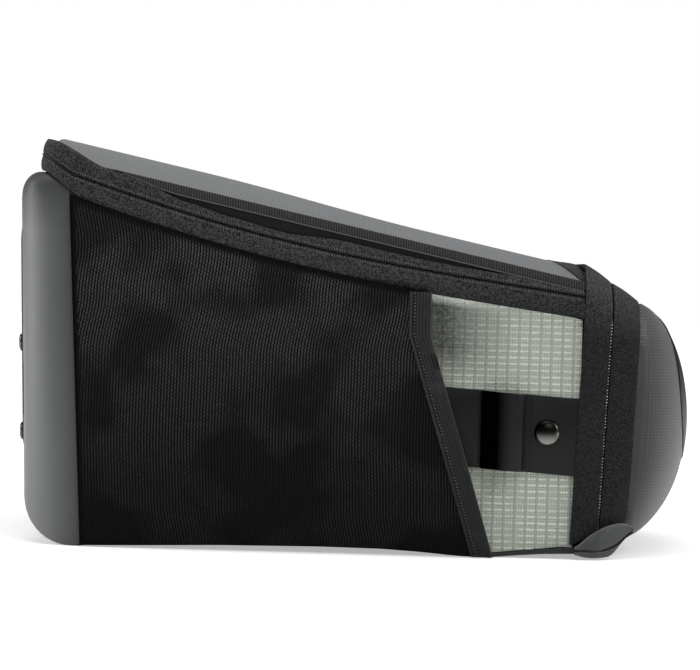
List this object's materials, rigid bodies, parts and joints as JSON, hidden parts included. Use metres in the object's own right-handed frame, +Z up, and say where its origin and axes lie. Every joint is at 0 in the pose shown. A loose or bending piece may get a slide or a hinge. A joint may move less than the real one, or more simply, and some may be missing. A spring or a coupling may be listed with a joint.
{
  "type": "bike handlebar bag",
  "caption": "Hard-backed handlebar bag with a sloping zipped lid, a domed zipped front pocket, mesh side pockets and a slotted mounting plate.",
  "frame": {"origin": "centre of the bag's length and width, at the bottom of its base", "axes": "+X forwards, from the mounting plate to the front pocket; +Y to the bag's left, away from the pictured side; +Z up"},
  "size_m": [0.2706, 0.1918, 0.1592],
  "materials": {
    "grey_coated_foam": "satin coated moulded foam",
    "dark_grey_laminate": "finely woven laminate over moulded foam",
    "lid_fabric": "finely ribbed fabric over moulded foam",
    "black_foam": "matte",
    "silver_ripstop": "coated ripstop, slight sheen",
    "black_stretch_mesh": "ribbed stretch mesh",
    "black_zip_tape": "fuzzy woven tape",
    "black_ribbed_tape": "ribbed tape",
    "black_nylon_coil": "satin",
    "black_coated_strap": "satin coated",
    "black_film": "smooth film",
    "grey_rubber": "satin moulded",
    "dark_nickel": "polished dark nickel",
    "black_nylon": "fine grain",
    "stiff_board": "matte"
  },
  "bodies": {
    "bag": {"rear_shell": "grey_coated_foam", "mount_plate": "black_nylon", "mount_screw_1": "dark_nickel", "mount_screw_2": "dark_nickel", "mount_screw_3": "dark_nickel", "mount_screw_4": "dark_nickel", "backing_board": "stiff_board", "bottom_shell": "black_foam", "bottom_board": "stiff_board", "side_panel_right": "silver_ripstop", "side_panel_left": "silver_ripstop", "front_wall": "black_foam", "lid_zip_tape_lower": "black_zip_tape", "lid_zip_coil_lower": "black_nylon_coil", "lid_hinge_tape": "black_zip_tape", "pocket_hinge_tape": "black_zip_tape", "front_zip_tape_body": "black_zip_tape", "front_zip_coil_body": "black_nylon_coil", "mesh_pocket_right": "black_stretch_mesh", "mesh_pocket_left": "black_stretch_mesh", "pocket_binding_right": "black_ribbed_tape", "pocket_binding_left": "black_ribbed_tape", "side_strap_right": "black_coated_strap", "side_strap_left": "black_coated_strap", "rivet_cap_right": "dark_nickel", "rivet_cap_left": "dark_nickel", "rivet_washer_right": "dark_nickel", "rivet_washer_left": "dark_nickel"},
    "lid": {"lid_shell": "lid_fabric", "lid_lining": "black_foam", "lid_edge_trim_right": "black_ribbed_tape", "lid_edge_trim_left": "black_ribbed_tape", "lid_zip_tape_upper": "black_zip_tape", "lid_zip_coil_upper": "black_nylon_coil"},
    "front_pocket": {"front_zip_tape_pocket": "black_zip_tape", "front_zip_coil_pocket": "black_nylon_coil", "dome_shell": "dark_grey_laminate", "dome_patch": "black_film", "zip_end_guard_right": "grey_rubber", "zip_end_guard_left": "grey_rubber"},
    "rear_lid_slider": {"lid_slider_rear": "dark_nickel"},
    "rear_lid_pull": {"lid_slider_rear_pull": "grey_rubber"},
    "front_lid_slider": {"lid_slider_front": "dark_nickel"},
    "front_lid_pull": {"lid_slider_front_pull": "grey_rubber"},
    "pocket_slider": {"front_slider": "dark_nickel"},
    "pocket_pull": {"front_slider_pull": "grey_rubber"}
  },
  "joints": [
    {"name": "lid_hinge", "type": "hinge", "parent": "bag", "child": "lid", "pos_m": [0.08504, 0, 0.1146], "axis": [0, 1, 0], "range_deg": [0, 110]},
    {"name": "front_pocket_hinge", "type": "hinge", "parent": "bag", "child": "front_pocket", "pos_m": [0.09344, 0, 0.0026], "axis": [0, 1, 0], "range_deg": [0, 60]},
    {"name": "lid_slider_rear_slide", "type": "slide", "parent": "bag", "child": "rear_lid_slider", "axis": [-0.9787, 0, 0.2052], "range_m": [0, 0.09]},
    {"name": "lid_slider_front_slide", "type": "slide", "parent": "bag", "child": "front_lid_slider", "axis": [0.9787, 0, -0.2052], "range_m": [0, 0.072]},
    {"name": "front_slider_slide", "type": "slide", "parent": "bag", "child": "pocket_slider", "axis": [0.04, 0, 0.9992], "range_m": [0, 0.052]},
    {"name": "lid_slider_rear_pull_swing", "type": "hinge", "parent": "rear_lid_slider", "child": "rear_lid_pull", "pos_m": [-0.01236, 0.0915, 0.12179], "axis": [0.9787, 0, -0.2052], "range_deg": [0, 165]},
    {"name": "lid_slider_front_pull_swing", "type": "hinge", "parent": "front_lid_slider", "child": "front_lid_pull", "pos_m": [0.00164, 0.0915, 0.11885], "axis": [0.9787, 0, -0.2052], "range_deg": [0, 165]},
    {"name": "front_slider_pull_swing", "type": "hinge", "parent": "pocket_slider", "child": "pocket_pull", "pos_m": [0.09704, 0.08878, 0.03591], "axis": [0.9289, -0.3686, -0.0372], "range_deg": [0, 165]}
  ]
}
